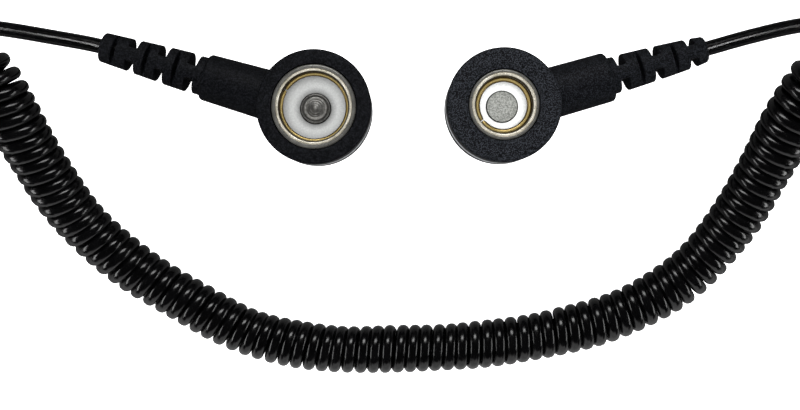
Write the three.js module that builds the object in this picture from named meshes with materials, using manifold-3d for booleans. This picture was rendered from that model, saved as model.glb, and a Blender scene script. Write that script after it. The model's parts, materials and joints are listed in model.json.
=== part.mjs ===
// Coiled grounding cord with a press-stud socket on each end, lying on a bench.
//
// The cord is one insulated wire: a tail, a left-handed close-wound coil bent into a U, and a second
// tail. Each tail loops round to a segmented strain-relief boot and a moulded head. A head holds a
// snap socket for a press stud, and a 1 megohm resistor in series between the socket and the wire.
//
// Units are millimetres. +X runs to the small-socket end, +Y from the coil towards the heads, and +Z is
// up, the way the sockets face. Places are first given from the bench under the middle of the coil, and
// the finished cord is then moved to put the origin on the bench under the middle of its box.
import * as THREE from "three";
import { mergeVertices } from "three/addons/utils/BufferGeometryUtils.js";
import Module from "manifold-3d";

const wasm = await Module();
wasm.setup();

// ---------------------------------------------------------------- driving dimensions

const GAP = 0.1; // clearance between pieces that touch on the real cord
const JOINT_GAP = 0.55; // clearance between two lengths of cord that bend against each other
const ROUND = 40; // facets round a head
const SMALL_ROUND = 20; // facets round a boot, a lead or a resistor

const CORD = { radius: 1.2, bore: 0.62, conductor: 0.5, sides: 8, coreSides: 6 };

// The coil: turns are numbered from its middle, negative to the left.
const COIL = {
  radius: 3.82, // outside radius at the middle
  growth: 0.1, // how much wider the last turn is, as a share
  pitch: 1.96, // spacing of the turns at the middle
  spread: 0.0031, // how much the spacing grows, per turn squared
  spreadTurns: 25.5, // as far as this from the middle
  endPitch: 1.905, // spacing of the turns on the arms
  settle: 3, // turns over which the spacing closes up to that
  leftTurns: 44.1,
  rightTurns: 44.4,
  wireRadial: 1.1, // half the wire's thickness away from the coil's axis
  wireAxial: 0.86, // and along it: the turns press each other flat
  stepsPerTurn: 8,
  sides: 5,
};

// The coil is cut into sections, so that it can stretch and bend. These are the turns where one
// section meets the next, on each side of the middle.
const SECTION_TURNS = [6, 12, 18, 24, 31];
const BEND_GAP_TURNS = 1.1; // the turn left out where two sections bend against each other
const STRETCH_GAP_TURNS = 0.1; // and where they only pull apart

// The coil's axis, from the left end to the right end. It lies on the bench in the middle, and its
// ends rise.
const COIL_AXIS = [
  [-70.2, 49.4, 24.4],
  [-66.0, 47.3, 23.7],
  [-62.2, 44.9, 22.8],
  [-59.0, 41.5, 21.4],
  [-57.0, 36.7, 19.0],
  [-55.0, 31.3, 15.7],
  [-50.3, 21.5, 9.8],
  [-43.2, 13.9, 6.2],
  [-34.4, 8.0, 4.6],
  [-24.1, 2.6, COIL.radius],
  [-12.0, 0.1, COIL.radius],
  [0.0, 0.0, COIL.radius],
  [12.0, 0.6, COIL.radius],
  [24.0, 2.4, COIL.radius],
  [35.6, 5.8, 4.3],
  [45.1, 11.7, 6.0],
  [51.4, 20.0, 9.6],
  [55.25, 29.3, 14.7],
  [57.8, 37.3, 20.0],
  [60.1, 41.6, 22.4],
  [63.3, 44.0, 23.8],
  [66.8, 46.1, 24.6],
  [70.6, 48.2, 25.2],
].map(([x, y, z]) => new THREE.Vector3(x, y, z));

const HEAD = {
  radius: 9,
  height: 9.4,
  edge: 0.45,
  pocketClearance: 0.15,
  stemAxis: 4.4, // height of the stem, boot and cord above the bench
  stemStart: 4.15, // stem radius where it leaves the head
  boreRadius: 1.75,
  boreStart: 6.4,
  socketDepth: 4.2,
};

// What differs between the two ends. Distances along a stem are from the head's axis.
const LEFT = {
  side: "left",
  place: [-13.5, 38.6],
  angle: 163.7, // the way the stem points
  stemEnd: 18.6,
  stemEndRadius: 3.75,
  collar: { end: 20.0, radius: 3.15 },
  // boot segments, head end first: where each starts and ends, and its radius at both
  segments: [
    { start: 21.1, end: 24.9, from: 3.2, to: 3.05 },
    { start: 26.1, end: 29.8, from: 2.95, to: 2.75 },
    { start: 31.0, end: 35.7, from: 2.65, to: 2.4 },
  ],
  socket: { rim: 6.63, mouth: 5.38, wall: 6.15, spring: 4.92, springWire: 0.33, rivet: 2.5, crown: 0.75 },
  springSplit: -15, // where the spring ring is split, from the stem's direction
  // where the tail runs, from just past the boot, round its loop and back to the coil
  tail: [
    [-56.4, 50.3, 4.4],
    [-64.4, 51.6, 4.4],
    [-75.0, 52.6, 5.0],
    [-83.0, 50.2, 6.9],
    [-86.4, 43.8, 9.5],
    [-83.9, 37.0, 12.3],
    [-77.6, 34.4, 15.6],
    [-71.6, 37.6, 19.4],
  ],
  tailHinge: 6, // the point of the loop it bends at
};
const RIGHT = {
  side: "right",
  place: [16.3, 38.9],
  angle: 15.95,
  stemEnd: 18.0,
  stemEndRadius: 4.0,
  collar: { end: 19.4, radius: 3.0 },
  segments: [
    { start: 20.4, end: 25.1, from: 3.0, to: 2.8 },
    { start: 26.1, end: 30.9, from: 2.75, to: 2.45 },
    { start: 32.2, end: 34.0, from: 2.35, to: 2.1 },
  ],
  socket: { rim: 5.52, mouth: 4.4, wall: 5.05, spring: 3.7, springWire: 0.4, rivet: 2.6, crown: 0.3 },
  springSplit: 200,
  tail: [
    [56.7, 50.4, 4.4],
    [64.4, 52.1, 4.4],
    [75.0, 53.0, 4.8],
    [83.0, 50.4, 6.1],
    [86.4, 43.8, 7.9],
    [83.9, 37.0, 10.0],
    [77.6, 34.6, 12.6],
    [71.0, 38.0, 15.6],
  ],
  tailHinge: 6,
};

const BOOT = {
  neck: 1.1, // half the width left between two side slots
  neckHeight: 0.75, // and half its height, as a share of the boot's radius
  neckRoot: 0.5, // how far a neck runs into the segment it belongs to
  slot: 0.65, // width of the front and back slots
  slotFloor: 1.0, // how far their floors are from the boot's axis
  longEnough: 3, // length from which a segment has such slots
  chamfer: 0.35,
  collarChamfer: 0.3,
  overlap: 0.9, // how far the boot's root reaches into the stem
  bore: 0.7, // depth of the hole for the conductor in the root's end
  seat: 0.6, // thickness of the last segment's wall in front of the cord
};

const TAIL = {
  straight: 0.6, // how far past the boot the cord runs straight
  runOn: 4, // how far it runs straight before it becomes the coil's last turn
  clear: 0.35, // how far it stands off the turn before
  step: 2.6, // length of a facet
};

// the shell's rim is a little below the head's face, and its rolled edge has facets
const SHELL = { sheet: 0.45, bend: 0.3, below: 0.15, facets: 6 };
const SPRING = { below: 1.75, split: 6, sides: 6 }; // the split is in degrees
const TAB = { thickness: 0.4, ring: 3.3, width: 2.2, end: 7.7 };
const RIVET = {
  shank: 1.05,
  footRadius: 1.55,
  footHeight: 0.35,
  footRoom: 0.2,
  headHeight: 0.45,
  edge: 0.3,
  crownFoot: 0.7, // where the crown starts and levels off, as shares of the head's radius
  crownTop: 0.4,
};
const RESISTOR = { start: 8.6, length: 5.0, radius: 1.25, waist: 1.05, cap: 1.1, taper: 0.4, lead: 0.3 };
const FERRULE = { start: 14.7, end: 16.3, radius: 1.05, bore: 0.62 };
const CRIMP = { lead: 0.6, strands: 0.8 }; // where the lead ends and the strands begin, in the ferrule
const SMALL_SIDES = 10; // facets round a lead or the strands

// ---------------------------------------------------------------- materials

const MATERIALS = {
  moulding: new THREE.MeshStandardMaterial({ color: 0x17181a, roughness: 0.75, metalness: 0 }),
  jacket: new THREE.MeshStandardMaterial({ color: 0x0b0b0c, roughness: 0.28, metalness: 0 }),
  nickel: new THREE.MeshStandardMaterial({ color: 0xb9b5ab, roughness: 0.3, metalness: 1 }),
  spring: new THREE.MeshStandardMaterial({ color: 0xa8873a, roughness: 0.3, metalness: 1 }),
  rivet: new THREE.MeshStandardMaterial({ color: 0x8c8a86, roughness: 0.5, metalness: 1 }),
  tin: new THREE.MeshStandardMaterial({ color: 0xc4c4c0, roughness: 0.4, metalness: 1 }),
  copper: new THREE.MeshStandardMaterial({ color: 0xb5734a, roughness: 0.4, metalness: 1 }),
  resistor: new THREE.MeshStandardMaterial({ color: 0xc9a77a, roughness: 0.5, metalness: 0 }),
};

// ---------------------------------------------------------------- solids

/** A manifold-3d solid from a closed three.js geometry. */
function solid(geometry) {
  const bare = geometry.clone();
  bare.deleteAttribute("normal");
  bare.deleteAttribute("uv");
  const merged = mergeVertices(bare, 1e-4);
  return new wasm.Manifold(
    new wasm.Mesh({
      numProp: 3,
      vertProperties: merged.attributes.position.array,
      triVerts: new Uint32Array(merged.index.array),
    }),
  );
}

/** A three.js geometry from a manifold-3d solid. */
function geometryOf(shape) {
  const mesh = shape.getMesh();
  const made = new THREE.BufferGeometry();
  made.setAttribute("position", new THREE.BufferAttribute(mesh.vertProperties, 3));
  made.setIndex(new THREE.BufferAttribute(mesh.triVerts, 1));
  made.computeVertexNormals();
  return made;
}

/** A solid of revolution about +Z from [radius, height] pairs listed anticlockwise. */
function turned(profile, segments = ROUND) {
  const points = profile.map(([r, z]) => new THREE.Vector2(r, z));
  return new THREE.LatheGeometry(points, segments).rotateX(Math.PI / 2);
}

/** The same about +X, at the stem's height: pairs are [radius, distance along X]. */
function turnedAlongX(profile, segments = SMALL_ROUND) {
  return turned(profile, segments).rotateY(Math.PI / 2).translate(0, 0, HEAD.stemAxis);
}

/** A closed profile of a plain or tapered rod, [radius, distance] from a to b. */
function rodProfile(a, b, radiusA, radiusB = radiusA, chamfer = 0) {
  const ends = chamfer
    ? [[radiusA - chamfer, a], [radiusA, a + chamfer], [radiusB, b - chamfer], [radiusB - chamfer, b]]
    : [[radiusA, a], [radiusB, b]];
  return [[0, a], ...ends, [0, b]];
}

/** A closed profile of a sleeve from a to b. */
function sleeveProfile(a, b, radius, bore) {
  return [[bore, a], [radius, a], [radius, b], [bore, b], [bore, a]];
}

/** A box from its lowest and highest corners. */
function block(low, high) {
  const room = new THREE.Box3(new THREE.Vector3(...low), new THREE.Vector3(...high));
  const centre = room.getCenter(new THREE.Vector3());
  return new THREE.BoxGeometry(...room.getSize(new THREE.Vector3())).translate(...centre);
}

/** A regular outline with the given half-widths, turned so that a flat side faces each way. */
function outline(sides, halfX, halfY = halfX) {
  return Array.from({ length: sides }, (_, i) => {
    const a = ((i + 0.5) / sides) * 2 * Math.PI;
    return new THREE.Vector2(halfX * Math.cos(a), halfY * Math.sin(a));
  });
}

/** Sweeps an outline along a curve, with an optional bore. */
function swept(curve, steps, points, hole) {
  const shape = new THREE.Shape(points);
  if (hole) shape.holes.push(new THREE.Path(hole));
  return new THREE.ExtrudeGeometry(shape, { steps, extrudePath: curve, bevelEnabled: false });
}

// ---------------------------------------------------------------- the coil

const NUDGE = 0.01; // turns to look ahead by, to see which way the wire runs

const axis = new THREE.CatmullRomCurve3(COIL_AXIS, false, "centripetal");
axis.arcLengthDivisions = 800;
const axisLength = axis.getLength();
const middle = COIL_AXIS.findIndex((p) => p.x === 0) / (COIL_AXIS.length - 1);
const middleAt = axis.getLengths()[Math.round(middle * axis.arcLengthDivisions)];

/** How far along the axis a turn is from the middle: the spacing grows, then closes up on the arms. */
function alongAxis(turn) {
  const spread = Math.min(Math.abs(turn), COIL.spreadTurns);
  const beyond = Math.abs(turn) - spread;
  const excess = COIL.pitch + 2 * COIL.spread * COIL.spreadTurns - COIL.endPitch;
  const closing = excess * COIL.settle * (1 - Math.exp(-beyond / COIL.settle));
  const distance = COIL.pitch * spread + COIL.spread * spread ** 2 + COIL.endPitch * beyond + closing;
  return Math.sign(turn) * distance;
}

/** Where the axis is at a turn, with the direction it runs in and the way up across it. */
function axisAt(turn) {
  const u = (middleAt + alongAxis(turn)) / axisLength;
  const point = axis.getPointAt(u);
  const tangent = axis.getTangentAt(u);
  const up = new THREE.Vector3(0, 0, 1).addScaledVector(tangent, -tangent.z).normalize();
  const across = new THREE.Vector3().crossVectors(tangent, up);
  return { point, tangent, up, across };
}

/** The way from the axis to the wire at a turn. The coil is left-handed. */
function outwardAt(turn) {
  const { up, across } = axisAt(turn);
  const angle = -2 * Math.PI * turn;
  return up.multiplyScalar(Math.cos(angle)).addScaledVector(across, Math.sin(angle));
}

/** The wire's centre at a turn. */
function wireAt(turn) {
  const widest = turn < 0 ? COIL.leftTurns : COIL.rightTurns;
  const radius = COIL.radius * (1 + COIL.growth * (turn / widest) ** 2) - COIL.wireRadial;
  return axisAt(turn).point.addScaledVector(outwardAt(turn), radius);
}

/** The wire's centreline from one turn to another, with frames that keep its flat side to the axis. */
class CoilWire extends THREE.Curve {
  constructor(from, to) {
    super();
    this.from = from;
    this.to = to;
  }
  turnAt(t) {
    return this.from + (this.to - this.from) * t;
  }
  getPoint(t) {
    return wireAt(this.turnAt(t));
  }
  getPointAt(t) {
    return this.getPoint(t);
  }
  computeFrenetFrames(segments) {
    const frames = { tangents: [], normals: [], binormals: [] };
    for (let i = 0; i <= segments; i++) {
      const turn = this.turnAt(i / segments);
      const tangent = wireAt(turn + NUDGE).sub(wireAt(turn - NUDGE)).normalize();
      const normal = outwardAt(turn).addScaledVector(tangent, -outwardAt(turn).dot(tangent)).normalize();
      frames.tangents.push(tangent);
      frames.normals.push(normal);
      frames.binormals.push(new THREE.Vector3().crossVectors(tangent, normal));
    }
    return frames;
  }
}

function coilSection(from, to) {
  const steps = Math.round((to - from) * COIL.stepsPerTurn);
  return swept(new CoilWire(from, to), steps, outline(COIL.sides, COIL.wireRadial, COIL.wireAxial));
}

// ---------------------------------------------------------------- the tails

/** The point on a stem's axis at a distance from the head's. */
function alongStem({ place, angle }, distance) {
  const a = THREE.MathUtils.degToRad(angle);
  const [x, y] = place;
  return new THREE.Vector3(x + distance * Math.cos(a), y + distance * Math.sin(a), HEAD.stemAxis);
}

/** The tail's centreline, from the boot round to the coil's last turn. */
function tailCurve(end) {
  const last = end.side === "left" ? -COIL.leftTurns : COIL.rightTurns;
  const outward = Math.sign(last);
  const onward = wireAt(last + outward * NUDGE).sub(wireAt(last)).normalize();
  const leave = wireAt(last).addScaledVector(axisAt(last).tangent, outward * TAIL.clear);
  const runOn = leave.clone().addScaledVector(onward, TAIL.runOn);
  const { start, end: finish } = end.segments.at(-1);
  const inBoot = [start + BOOT.seat + GAP, finish + TAIL.straight].map((d) => alongStem(end, d));
  const points = end.tail.map(([x, y, z]) => new THREE.Vector3(x, y, z));
  const curve = new THREE.CatmullRomCurve3([...inBoot, ...points, runOn, leave], false, "centripetal");
  curve.arcLengthDivisions = 400;
  return curve;
}

/** The stretch of a curve between two shares of its length. */
class Stretch extends THREE.Curve {
  constructor(whole, from, to) {
    super();
    Object.assign(this, { whole, from, to });
  }
  getPoint(t) {
    return this.whole.getPointAt(this.from + (this.to - this.from) * t);
  }
}

/** The share of the tail's length at which its loop bends. */
function tailHingeShare(end, curve) {
  const knot = end.tailHinge / (curve.points.length - 1);
  return curve.getLengths()[Math.round(knot * curve.arcLengthDivisions)] / curve.getLength();
}

const jacketOutline = outline(CORD.sides, CORD.radius);
const boreOutline = outline(CORD.coreSides, CORD.bore);
const coreOutline = outline(CORD.coreSides, CORD.conductor);

// ---------------------------------------------------------------- the heads

const socketFloor = HEAD.height - HEAD.socketDepth; // top of the socket's floor
const shellBottom = socketFloor - SHELL.sheet;
const tabTop = shellBottom - GAP;
const tabRoom = tabTop - TAB.thickness - GAP; // the pocket's floor under the tab

function headMoulding(end) {
  const { radius, height, edge, stemAxis, boreRadius, boreStart } = HEAD;
  const pocket = end.socket.rim + HEAD.pocketClearance;
  const disc = solid(turned(rodProfile(0, height, radius, radius, edge), ROUND));
  const stem = solid(turnedAlongX(rodProfile(0, end.stemEnd, HEAD.stemStart, end.stemEndRadius, edge)));
  const stemBore = solid(turnedAlongX(rodProfile(boreStart, end.stemEnd + 1, boreRadius)));
  const rootSeat = end.stemEnd - BOOT.overlap - GAP;
  const rootRecess = solid(turnedAlongX(rodProfile(rootSeat, end.stemEnd + 1, end.collar.radius + GAP)));
  const footRoom = tabRoom - RIVET.footHeight - RIVET.footRoom;
  const halfTongue = TAB.width / 2 + GAP;
  const hollow = solid(turned(rodProfile(tabTop, height + 1, pocket), ROUND))
    .add(solid(turned(rodProfile(tabRoom, socketFloor, TAB.ring + GAP), ROUND)))
    .add(solid(turned(rodProfile(footRoom, socketFloor, RIVET.footRadius + RIVET.footRoom), SMALL_ROUND)))
    .add(solid(block([0, -halfTongue, tabRoom], [boreStart + 1, halfTongue, shellBottom])));
  return geometryOf(disc.add(stem).subtract(hollow).subtract(stemBore).subtract(rootRecess));
}

/** The pressed cup of the socket, with its rolled rim. */
function socketShell({ rim, mouth, wall }) {
  const { sheet, bend, below } = SHELL;
  const hole = RIVET.shank + GAP;
  const lip = (rim + mouth) / 2;
  const roll = (rim - mouth) / 2;
  const rollHeight = HEAD.height - below - roll;
  const arc = Array.from({ length: SHELL.facets + 1 }, (_, i) => {
    const a = (i / SHELL.facets) * Math.PI;
    return [lip + roll * Math.cos(a), rollHeight + roll * Math.sin(a)];
  });
  return turned([
    [hole, shellBottom],
    [wall - bend, shellBottom],
    [wall, shellBottom + bend],
    [wall, rollHeight - roll],
    ...arc,
    [wall - sheet, rollHeight - roll],
    [wall - sheet, socketFloor],
    [hole, socketFloor],
    [hole, shellBottom],
  ]);
}

/** The split ring that grips the stud, under the rim. */
function springRing(end) {
  const { spring, springWire } = end.socket;
  const halfSplit = THREE.MathUtils.degToRad(SPRING.split / 2);
  const from = THREE.MathUtils.degToRad(end.springSplit) + halfSplit;
  const radius = spring + springWire;
  const ring = new THREE.EllipseCurve(0, 0, radius, radius, from, from + 2 * Math.PI - 2 * halfSplit);
  const height = HEAD.height - SPRING.below;
  const path = new (class extends THREE.Curve {
    getPoint(t) {
      const p = ring.getPoint(t);
      return new THREE.Vector3(p.x, p.y, height);
    }
  })();
  return swept(path, ROUND, outline(SPRING.sides, springWire));
}

/** The rivet through the socket's floor, flared under the tab, with its head inside the socket. */
function rivet({ rivet: head, crown }) {
  const { shank, footRadius, footHeight, headHeight, edge, crownFoot, crownTop } = RIVET;
  const seat = socketFloor + GAP;
  const top = seat + headHeight;
  return turned(
    [
      [0, tabRoom - footHeight],
      [footRadius, tabRoom - footHeight],
      [footRadius, tabRoom],
      [shank, tabRoom],
      [shank, seat],
      [head, seat],
      [head, top - edge / 2],
      [head - edge, top],
      [head * crownFoot, top],
      [head * crownTop, top + crown / 2],
      [0, top + crown / 2],
    ],
    SMALL_ROUND,
  );
}

/** The solder tab under the socket: a washer with a tongue that reaches into the stem. */
function terminalTab() {
  const low = tabTop - TAB.thickness;
  const washer = solid(turned(rodProfile(low, tabTop, TAB.ring), SMALL_ROUND));
  const tongue = solid(block([0, -TAB.width / 2, low], [TAB.end, TAB.width / 2, tabTop]));
  const hole = solid(turned(rodProfile(low - 1, tabTop + 1, RIVET.shank + GAP), SMALL_ROUND));
  return geometryOf(washer.add(tongue).subtract(hole));
}

/** The resistor: a waist between two wider caps. */
function resistorBody() {
  const { start, length, radius, waist, cap, taper } = RESISTOR;
  const end = start + length;
  return turnedAlongX([
    [0, start],
    [waist - taper, start],
    [radius, start + taper],
    [radius, start + cap],
    [waist, start + cap + taper],
    [waist, end - cap - taper],
    [radius, end - cap],
    [radius, end - taper],
    [waist - taper, end],
    [0, end],
  ]);
}

/** A straight piece of round wire along the stem. */
function wire(from, to, radius) {
  return turnedAlongX(rodProfile(from, to, radius), SMALL_SIDES);
}

// ---------------------------------------------------------------- the boots

/** The neck left between two side slots: it bends sideways and is stiff up and down. */
function neck(from, to, boot) {
  const z = HEAD.stemAxis;
  const halfHeight = boot * BOOT.neckHeight;
  return solid(block([from, -BOOT.neck, z - halfHeight], [to, BOOT.neck, z + halfHeight]));
}

/** The boot's root: held in the stem, with its collar showing and half of the first neck. */
function bootRoot(end) {
  const { stemEnd, collar, segments } = end;
  const from = stemEnd - BOOT.overlap;
  const pivot = (collar.end + segments[0].start) / 2;
  const body = solid(
    turnedAlongX(rodProfile(from, collar.end, collar.radius, collar.radius, BOOT.collarChamfer)),
  );
  const stub = neck(from + BOOT.neckRoot, pivot - JOINT_GAP / 2, collar.radius);
  const bore = solid(wire(from - 1, from + BOOT.bore, CORD.conductor + GAP));
  return geometryOf(body.add(stub).subtract(bore));
}

/** One segment of the boot, slotted front and back, with half a neck at each end that has one. */
function bootSegment(end, index) {
  const { start, end: finish, from, to } = end.segments[index];
  const before = index ? end.segments[index - 1].end : end.collar.end;
  const next = end.segments[index + 1];
  const centre = (start + finish) / 2;
  let shape = solid(turnedAlongX(rodProfile(start, finish, from, to, BOOT.chamfer)));
  if (finish - start > BOOT.longEnough) {
    const a = centre - BOOT.slot / 2;
    const b = centre + BOOT.slot / 2;
    const { stemAxis } = HEAD;
    const front = block([a, -from, stemAxis + BOOT.slotFloor], [b, from, stemAxis + 2 * from]);
    const back = block([a, -from, stemAxis - 2 * from], [b, from, stemAxis - BOOT.slotFloor]);
    shape = shape.subtract(solid(front)).subtract(solid(back));
  }
  shape = shape.add(neck((before + start) / 2 + JOINT_GAP / 2, start + BOOT.neckRoot, to));
  if (next) {
    const pivot = (finish + next.start) / 2;
    return geometryOf(shape.add(neck(finish - BOOT.neckRoot, pivot - JOINT_GAP / 2, to)));
  }
  const bore = turnedAlongX(rodProfile(start + BOOT.seat, finish + 1, CORD.radius + GAP));
  return geometryOf(shape.subtract(solid(bore)));
}

// ---------------------------------------------------------------- the assembly

const cord = new THREE.Group();

function add(parent, name, geometry, material) {
  const mesh = new THREE.Mesh(geometry, MATERIALS[material]);
  mesh.name = name;
  parent.add(mesh);
}

/** A head with its boot, in its own frame: the stem runs along +X. */
function connector(end) {
  const { side, place, angle, stemEnd, socket } = end;
  const group = new THREE.Group();
  group.position.set(place[0], place[1], 0);
  group.rotation.z = THREE.MathUtils.degToRad(angle);
  const resistorEnd = RESISTOR.start + RESISTOR.length;
  const strandsEnd = stemEnd - BOOT.overlap + BOOT.bore - GAP;
  const frontLead = wire(TAB.end + GAP, RESISTOR.start - GAP, RESISTOR.lead);
  const rearLead = wire(resistorEnd + GAP, FERRULE.start + CRIMP.lead, RESISTOR.lead);
  const ferrule = sleeveProfile(FERRULE.start, FERRULE.end, FERRULE.radius, FERRULE.bore);
  const strands = wire(FERRULE.start + CRIMP.strands, strandsEnd, CORD.conductor);
  add(group, `${side}_head_moulding`, headMoulding(end), "moulding");
  add(group, `${side}_socket_shell`, socketShell(socket), "nickel");
  add(group, `${side}_spring_ring`, springRing(end), "spring");
  add(group, `${side}_rivet`, rivet(socket), "rivet");
  add(group, `${side}_terminal_tab`, terminalTab(), "tin");
  add(group, `${side}_front_lead`, frontLead, "tin");
  add(group, `${side}_resistor`, resistorBody(), "resistor");
  add(group, `${side}_rear_lead`, rearLead, "tin");
  add(group, `${side}_ferrule`, turnedAlongX(ferrule, SMALL_SIDES), "tin");
  add(group, `${side}_conductor_end`, strands, "copper");
  add(group, `${side}_boot_root`, bootRoot(end), "moulding");
  for (const [index, letter] of ["a", "b", "end"].entries()) {
    add(group, `${side}_boot_${letter}`, bootSegment(end, index), "moulding");
  }
  return group;
}

/** The two lengths of tail, each a jacket round its own conductor. */
function tail(end) {
  const curve = tailCurve(end);
  const length = curve.getLength();
  const hinge = tailHingeShare(end, curve);
  const halfGap = JOINT_GAP / 2 / length;
  const group = new THREE.Group();
  const parts = [
    ["inner", 0, hinge - halfGap],
    ["outer", hinge + halfGap, 1 - GAP / length],
  ];
  for (const [which, from, to] of parts) {
    const run = new Stretch(curve, from, to);
    const steps = Math.round(((to - from) * length) / TAIL.step);
    add(group, `${end.side}_tail_${which}_jacket`, swept(run, steps, jacketOutline, boreOutline), "jacket");
    add(group, `${end.side}_tail_${which}_conductor`, swept(run, steps, coreOutline), "copper");
  }
  return group;
}

for (const end of [LEFT, RIGHT]) {
  cord.add(connector(end));
  cord.add(tail(end));
}

const centreTurns = SECTION_TURNS[0] - STRETCH_GAP_TURNS / 2;
add(cord, "coil_centre", coilSection(-centreTurns, centreTurns), "jacket");
for (const [i, first] of SECTION_TURNS.entries()) {
  // the sections part by stretching and by bending, in turn
  const gaps = i % 2 ? [BEND_GAP_TURNS, STRETCH_GAP_TURNS] : [STRETCH_GAP_TURNS, BEND_GAP_TURNS];
  const next = SECTION_TURNS[i + 1];
  const from = first + gaps[0] / 2;
  const leftTo = next ? next - gaps[1] / 2 : COIL.leftTurns;
  const rightTo = next ? next - gaps[1] / 2 : COIL.rightTurns;
  add(cord, `left_coil_${i + 1}`, coilSection(-leftTo, -from), "jacket");
  add(cord, `right_coil_${i + 1}`, coilSection(from, rightTo), "jacket");
}

const box = new THREE.Box3().setFromObject(cord, true);
const boxMiddle = box.getCenter(new THREE.Vector3());
cord.position.set(-boxMiddle.x, -boxMiddle.y, -box.min.z);

export default cord;
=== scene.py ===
"""Looks for a coiled grounding cord: two moulded heads with press-stud sockets, slotted boots,
tails and a left-handed coil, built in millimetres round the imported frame."""

import json
import math

import bmesh
import bpy
import numpy as np
from mathutils import Matrix, Vector

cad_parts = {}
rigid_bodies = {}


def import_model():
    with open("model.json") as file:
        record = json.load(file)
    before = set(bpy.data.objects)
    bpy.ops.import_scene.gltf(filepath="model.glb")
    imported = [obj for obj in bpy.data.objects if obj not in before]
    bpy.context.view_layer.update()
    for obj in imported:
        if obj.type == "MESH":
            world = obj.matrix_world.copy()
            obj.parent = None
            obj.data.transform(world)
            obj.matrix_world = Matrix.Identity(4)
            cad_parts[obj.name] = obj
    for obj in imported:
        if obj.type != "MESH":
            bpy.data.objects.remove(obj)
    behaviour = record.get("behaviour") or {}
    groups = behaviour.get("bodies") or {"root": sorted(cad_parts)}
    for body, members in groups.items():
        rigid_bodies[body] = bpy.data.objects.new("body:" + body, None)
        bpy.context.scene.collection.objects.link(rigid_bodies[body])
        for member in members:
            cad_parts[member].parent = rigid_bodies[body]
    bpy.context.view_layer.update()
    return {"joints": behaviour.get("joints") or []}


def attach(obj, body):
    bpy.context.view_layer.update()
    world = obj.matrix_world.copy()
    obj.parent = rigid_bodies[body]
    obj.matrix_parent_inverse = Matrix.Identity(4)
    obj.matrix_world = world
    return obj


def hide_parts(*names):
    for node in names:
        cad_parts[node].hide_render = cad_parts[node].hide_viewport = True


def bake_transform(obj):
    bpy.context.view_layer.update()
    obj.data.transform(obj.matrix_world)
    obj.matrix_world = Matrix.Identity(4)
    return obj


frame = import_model()
scene = bpy.context.scene
joints = {joint["name"]: joint for joint in frame["joints"]}

MM = 0.001
UP = np.array([0.0, 0.0, 1.0])
SIDES = {"left": -1, "right": 1}

# ---- dimensions, in millimetres

# The coil's axis from its left end to its right, from the bench under the coil's middle.
COIL_RADIUS = 3.82
COIL_AXIS = [
    (-70.2, 49.4, 24.4), (-66.0, 47.3, 23.7), (-62.2, 44.9, 22.8), (-59.0, 41.5, 21.4),
    (-57.0, 36.7, 19.0), (-55.0, 31.3, 15.7), (-50.3, 21.5, 9.8), (-43.2, 13.9, 6.2),
    (-34.4, 8.0, 4.6), (-24.1, 2.6, COIL_RADIUS), (-12.0, 0.1, COIL_RADIUS),
    (0.0, 0.0, COIL_RADIUS), (12.0, 0.6, COIL_RADIUS), (24.0, 2.4, COIL_RADIUS),
    (35.6, 5.8, 4.3), (45.1, 11.7, 6.0),
    (51.4, 20.0, 9.6), (55.25, 29.3, 14.7), (57.8, 37.3, 20.0), (60.1, 41.6, 22.4),
    (63.3, 44.0, 23.8), (66.8, 46.1, 24.6), (70.6, 48.2, 25.2),
]
MIDDLE_KNOT = 11
GROWTH = 0.1  # how much wider the coil's last turn is, as a share
PITCH = 1.96
SPREAD = 0.0031  # how much the spacing of the turns grows, per turn squared
SPREAD_TURNS = 25.5  # as far as this from the middle
END_PITCH = 1.905  # the spacing that the turns close up to on the arms
SETTLE = 3  # the turns that it takes them to
WIRE_RADIAL = 1.13  # half the wire's thickness away from the coil's axis
WIRE_ROUNDNESS = 2.25  # 2 would be an oval, and more is squarer
PRESSED = 0.005  # how far a turn is pressed into the next
STEPS_PER_TURN = 30
WIRE_SIDES = 20

# No two turns lie quite alike. Each wave is its height, its rate per turn and its phase.
UNEVEN_ALONG = [(0.05, 1.9, 0.4), (0.035, 4.3, 1.1), (0.06, 0.37, 0)]
UNEVEN_RADIUS = (0.05, 0.83, 2)

# Where each joint's part of the coil starts and ends, in turns from the middle: stretches that
# slide apart, with short ones that bend between them.
LAST_TURN = {"left": 44.1, "right": 44.4}
ZONE_TURNS = [0, 10.5, 13.5, 22.5, 25.5]
FIRST_BEND = 12  # the turn at the middle of the first short one

CABLE = {"radius": 1.2, "bore": 0.62, "strands": 0.56, "in_boot": 0.92, "sides": 24}
TAILS = {
    "left": [
        (-56.4, 50.3, 4.4), (-64.4, 51.6, 4.4), (-75.0, 52.6, 5.0), (-83.0, 50.2, 6.9),
        (-86.4, 43.8, 9.5), (-83.9, 37.0, 12.3), (-77.6, 34.4, 15.6), (-71.6, 37.6, 19.4),
    ],
    "right": [
        (56.7, 50.4, 4.4), (64.4, 52.1, 4.4), (75.0, 53.0, 4.8), (83.0, 50.4, 6.1),
        (86.4, 43.8, 7.9), (83.9, 37.0, 10.0), (77.6, 34.6, 12.6), (71.0, 38.0, 15.6),
    ],
}
TAIL_STEP = 0.5
TAIL_RUN_ON = 4  # how far it runs straight out of the coil's last turn
TAIL_ROUNDS_IN = 10  # how soon it's round: in the coil it's oval
LEAVES_BOOT = 0.6  # how far it runs straight on from its boot

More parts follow.
